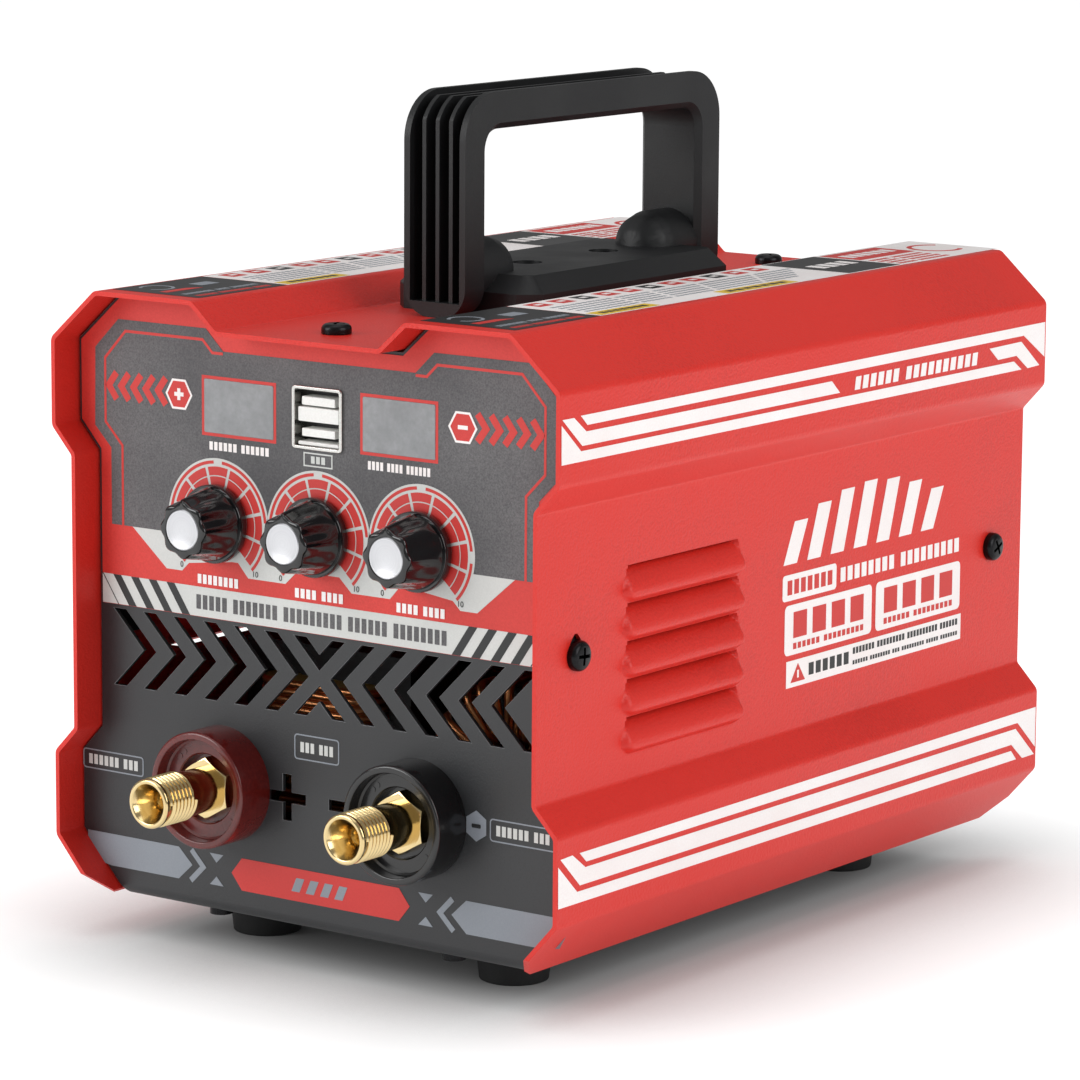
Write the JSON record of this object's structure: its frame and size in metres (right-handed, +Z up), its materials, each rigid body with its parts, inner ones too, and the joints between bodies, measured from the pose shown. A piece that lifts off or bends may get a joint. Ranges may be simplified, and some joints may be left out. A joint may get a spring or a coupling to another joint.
{
  "type": "stick welding inverter",
  "caption": "Portable stick welding inverter: bent sheet case with louvres, carry handle, rubber feet, control knobs, meters, brass output terminals and rear fan.",
  "frame": {"origin": "on the floor under the feet, in the middle of the overall box", "axes": "+Z up, the front panel faces -Y, +X to the right seen from the front"},
  "size_m": [0.16, 0.265, 0.2185],
  "materials": {
    "bare_aluminium": "extruded",
    "black_nylon": "moulded glass-filled nylon",
    "black_powder_coat": "satin powder coat",
    "black_resin": "moulded thermoset",
    "black_screw": "black oxide",
    "brass": "turned",
    "bright_steel": "nickel plated",
    "capacitor_sleeve": "shrink sleeve",
    "circuit_board": "solder mask",
    "clear_window": "clear",
    "device_epoxy": "moulded",
    "display_grey": "satin",
    "enamelled_copper": "enamelled wire",
    "fan_plastic": "moulded",
    "ferrite": "pressed",
    "knob_plastic": "polished",
    "maroon_resin": "moulded thermoset",
    "plated_steel": "zinc plated",
    "printed_film": "grained printed film",
    "red_powder_coat": "fine wrinkle powder coat",
    "rubber": "matt",
    "spun_aluminium": "spun",
    "white_plastic": "satin"
  },
  "bodies": {
    "root": {"board_screws": "black_screw", "busbars": "brass", "capacitors": "capacitor_sleeve", "chassis_tray": "black_powder_coat", "choke_core": "ferrite", "choke_winding": "enamelled_copper", "control_board": "circuit_board", "cover": "red_powder_coat", "cover_side_screws": "black_screw", "cover_top_screws": "black_screw", "earth_nut": "plated_steel", "earth_stud": "plated_steel", "fan_guard": "bright_steel", "fan_housing": "fan_plastic", "fan_screws": "black_screw", "feet": "rubber", "foot_screws": "black_screw", "front_film": "printed_film", "gland_body": "black_nylon", "gland_cap": "black_nylon", "gland_locknut": "black_nylon", "gland_seal": "rubber", "handle": "black_nylon", "handle_nuts": "plated_steel", "handle_screws": "black_screw", "heatsink_left": "bare_aluminium", "heatsink_right": "bare_aluminium", "meter_displays": "display_grey", "meter_windows": "clear_window", "pot_body_left": "plated_steel", "pot_body_middle": "plated_steel", "pot_body_right": "plated_steel", "pot_nuts": "plated_steel", "power_board": "circuit_board", "rectifiers": "device_epoxy", "standoffs": "brass", "switch_housing": "device_epoxy", "terminal_collar_negative": "black_resin", "terminal_collar_positive": "maroon_resin", "terminal_fitting_negative": "brass", "terminal_fitting_positive": "brass", "terminal_nuts": "brass", "transformer_core": "ferrite", "transformer_winding": "enamelled_copper", "transistors": "device_epoxy", "tray_screws": "black_screw", "usb_shell": "bright_steel", "usb_tongues": "white_plastic"},
    "knob_left": {"knob_left": "knob_plastic", "knob_cap_left": "spun_aluminium", "pot_shaft_left": "plated_steel"},
    "knob_middle": {"knob_middle": "knob_plastic", "knob_cap_middle": "spun_aluminium", "pot_shaft_middle": "plated_steel"},
    "knob_right": {"knob_right": "knob_plastic", "knob_cap_right": "spun_aluminium", "pot_shaft_right": "plated_steel"},
    "fan_rotor": {"fan_rotor": "fan_plastic"},
    "switch_rocker": {"switch_rocker": "knob_plastic"}
  },
  "joints": [
    {"name": "knob_left_turn", "type": "hinge", "parent": "root", "child": "knob_left", "pos_m": [-0.0322, -0.11, 0.1118], "axis": [0, 1, 0], "range_deg": [-140, 140]},
    {"name": "knob_middle_turn", "type": "hinge", "parent": "root", "child": "knob_middle", "pos_m": [0, -0.11, 0.1118], "axis": [0, 1, 0], "range_deg": [-140, 140]},
    {"name": "knob_right_turn", "type": "hinge", "parent": "root", "child": "knob_right", "pos_m": [0.0322, -0.11, 0.1118], "axis": [0, 1, 0], "range_deg": [-140, 140]},
    {"name": "fan_spin", "type": "hinge", "parent": "root", "child": "fan_rotor", "pos_m": [-0.022, 0.0895, 0.095], "axis": [0, 1, 0], "continuous": true},
    {"name": "power_rocker_tilt", "type": "hinge", "parent": "root", "child": "switch_rocker", "pos_m": [0.046, 0.0985, 0.129], "axis": [1, 0, 0], "range_deg": [0, 20]}
  ]
}
